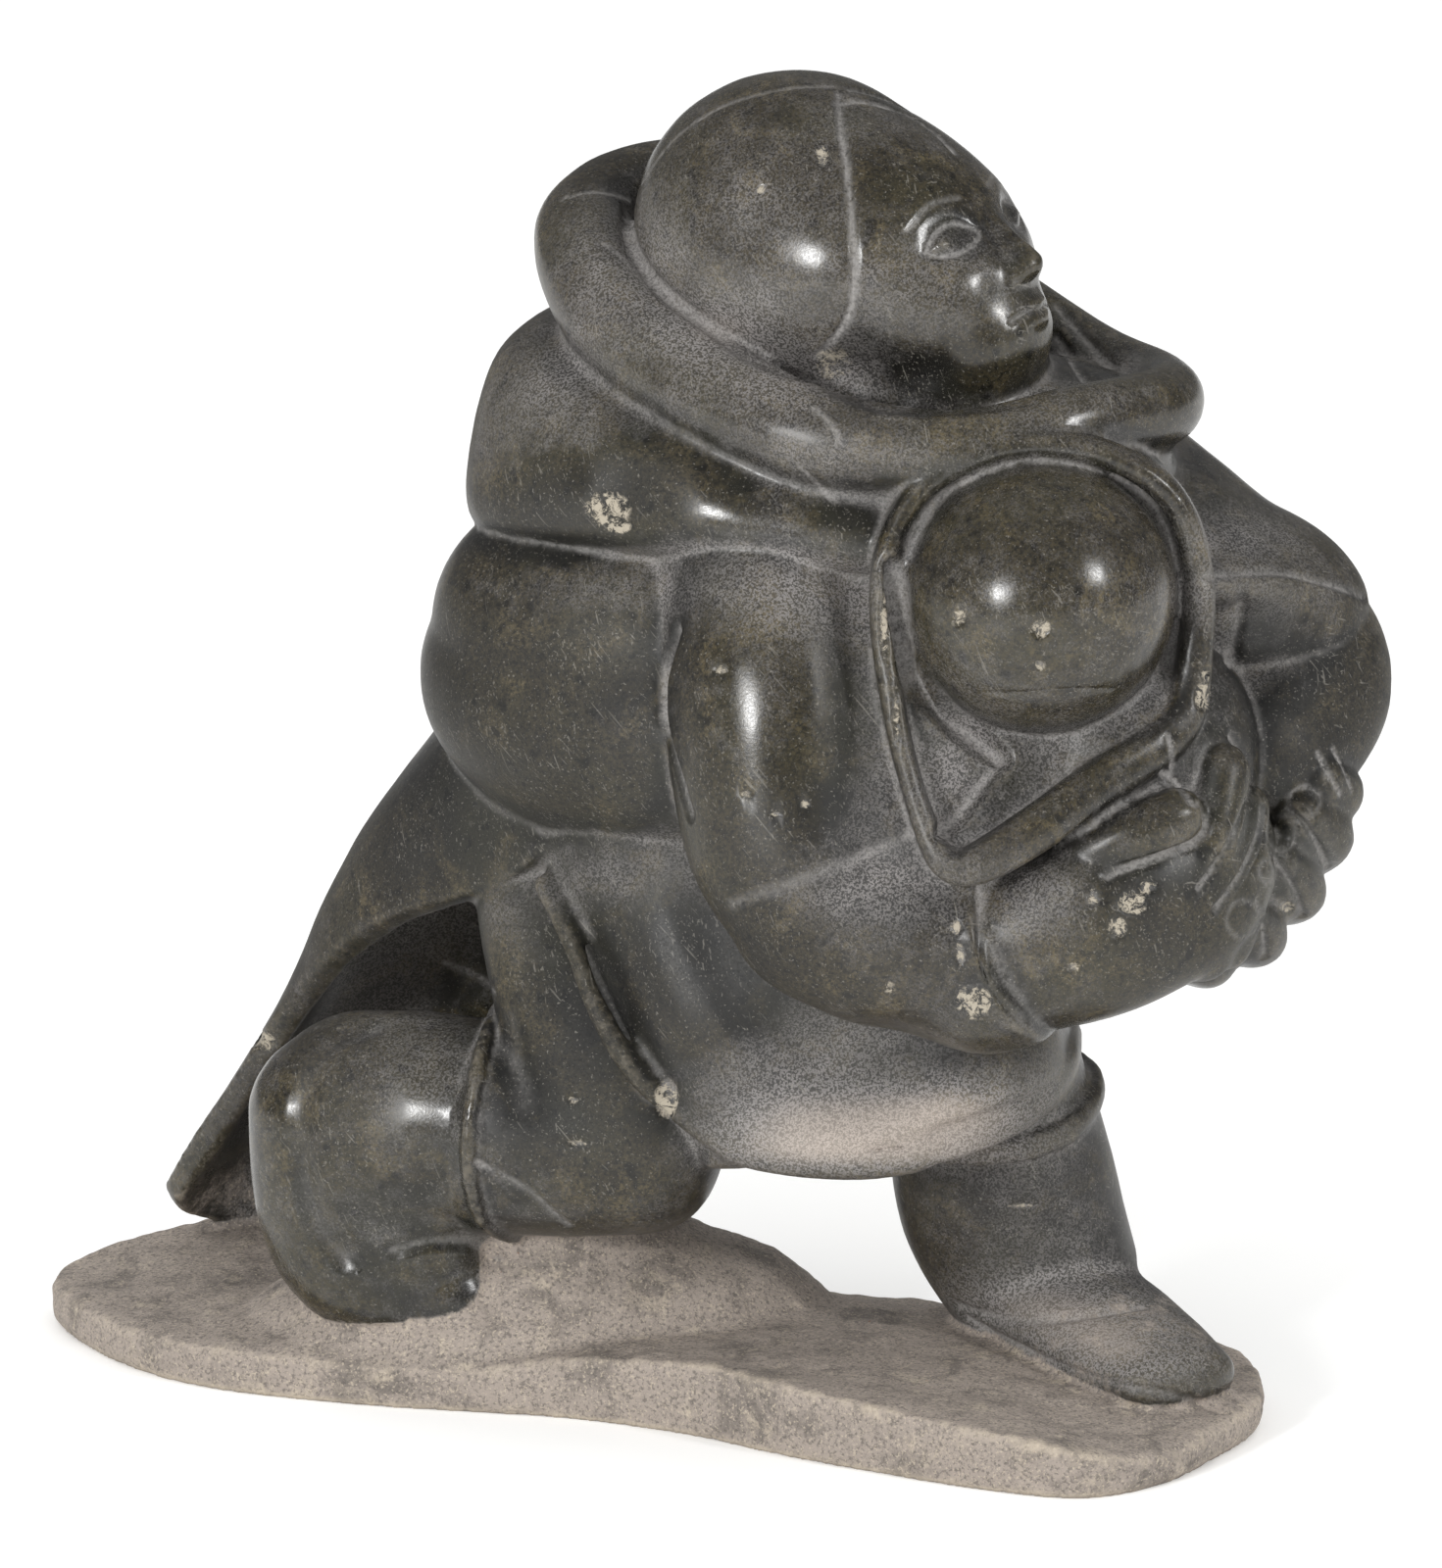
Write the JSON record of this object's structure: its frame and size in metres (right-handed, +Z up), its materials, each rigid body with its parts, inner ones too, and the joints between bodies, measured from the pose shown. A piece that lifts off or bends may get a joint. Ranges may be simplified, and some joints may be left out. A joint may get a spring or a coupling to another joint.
{
  "type": "stone carving",
  "caption": "Carved soapstone figure of a kneeling, parka-clad mother holding a hooded child across the chest, cut in one piece with its rough slab base.",
  "frame": {"origin": "middle of the underside of the base, at the centre of the part's box", "axes": "+Z up, -Y the side that the carving is shown from, +X the way the mother looks"},
  "size_m": [0.2746, 0.1606, 0.2738],
  "materials": {
    "soapstone": "dark grey-green stone, hand polished on the figure and left rough and paler on the base"
  },
  "bodies": {
    "root": {"carving": "soapstone"}
  },
  "joints": []
}
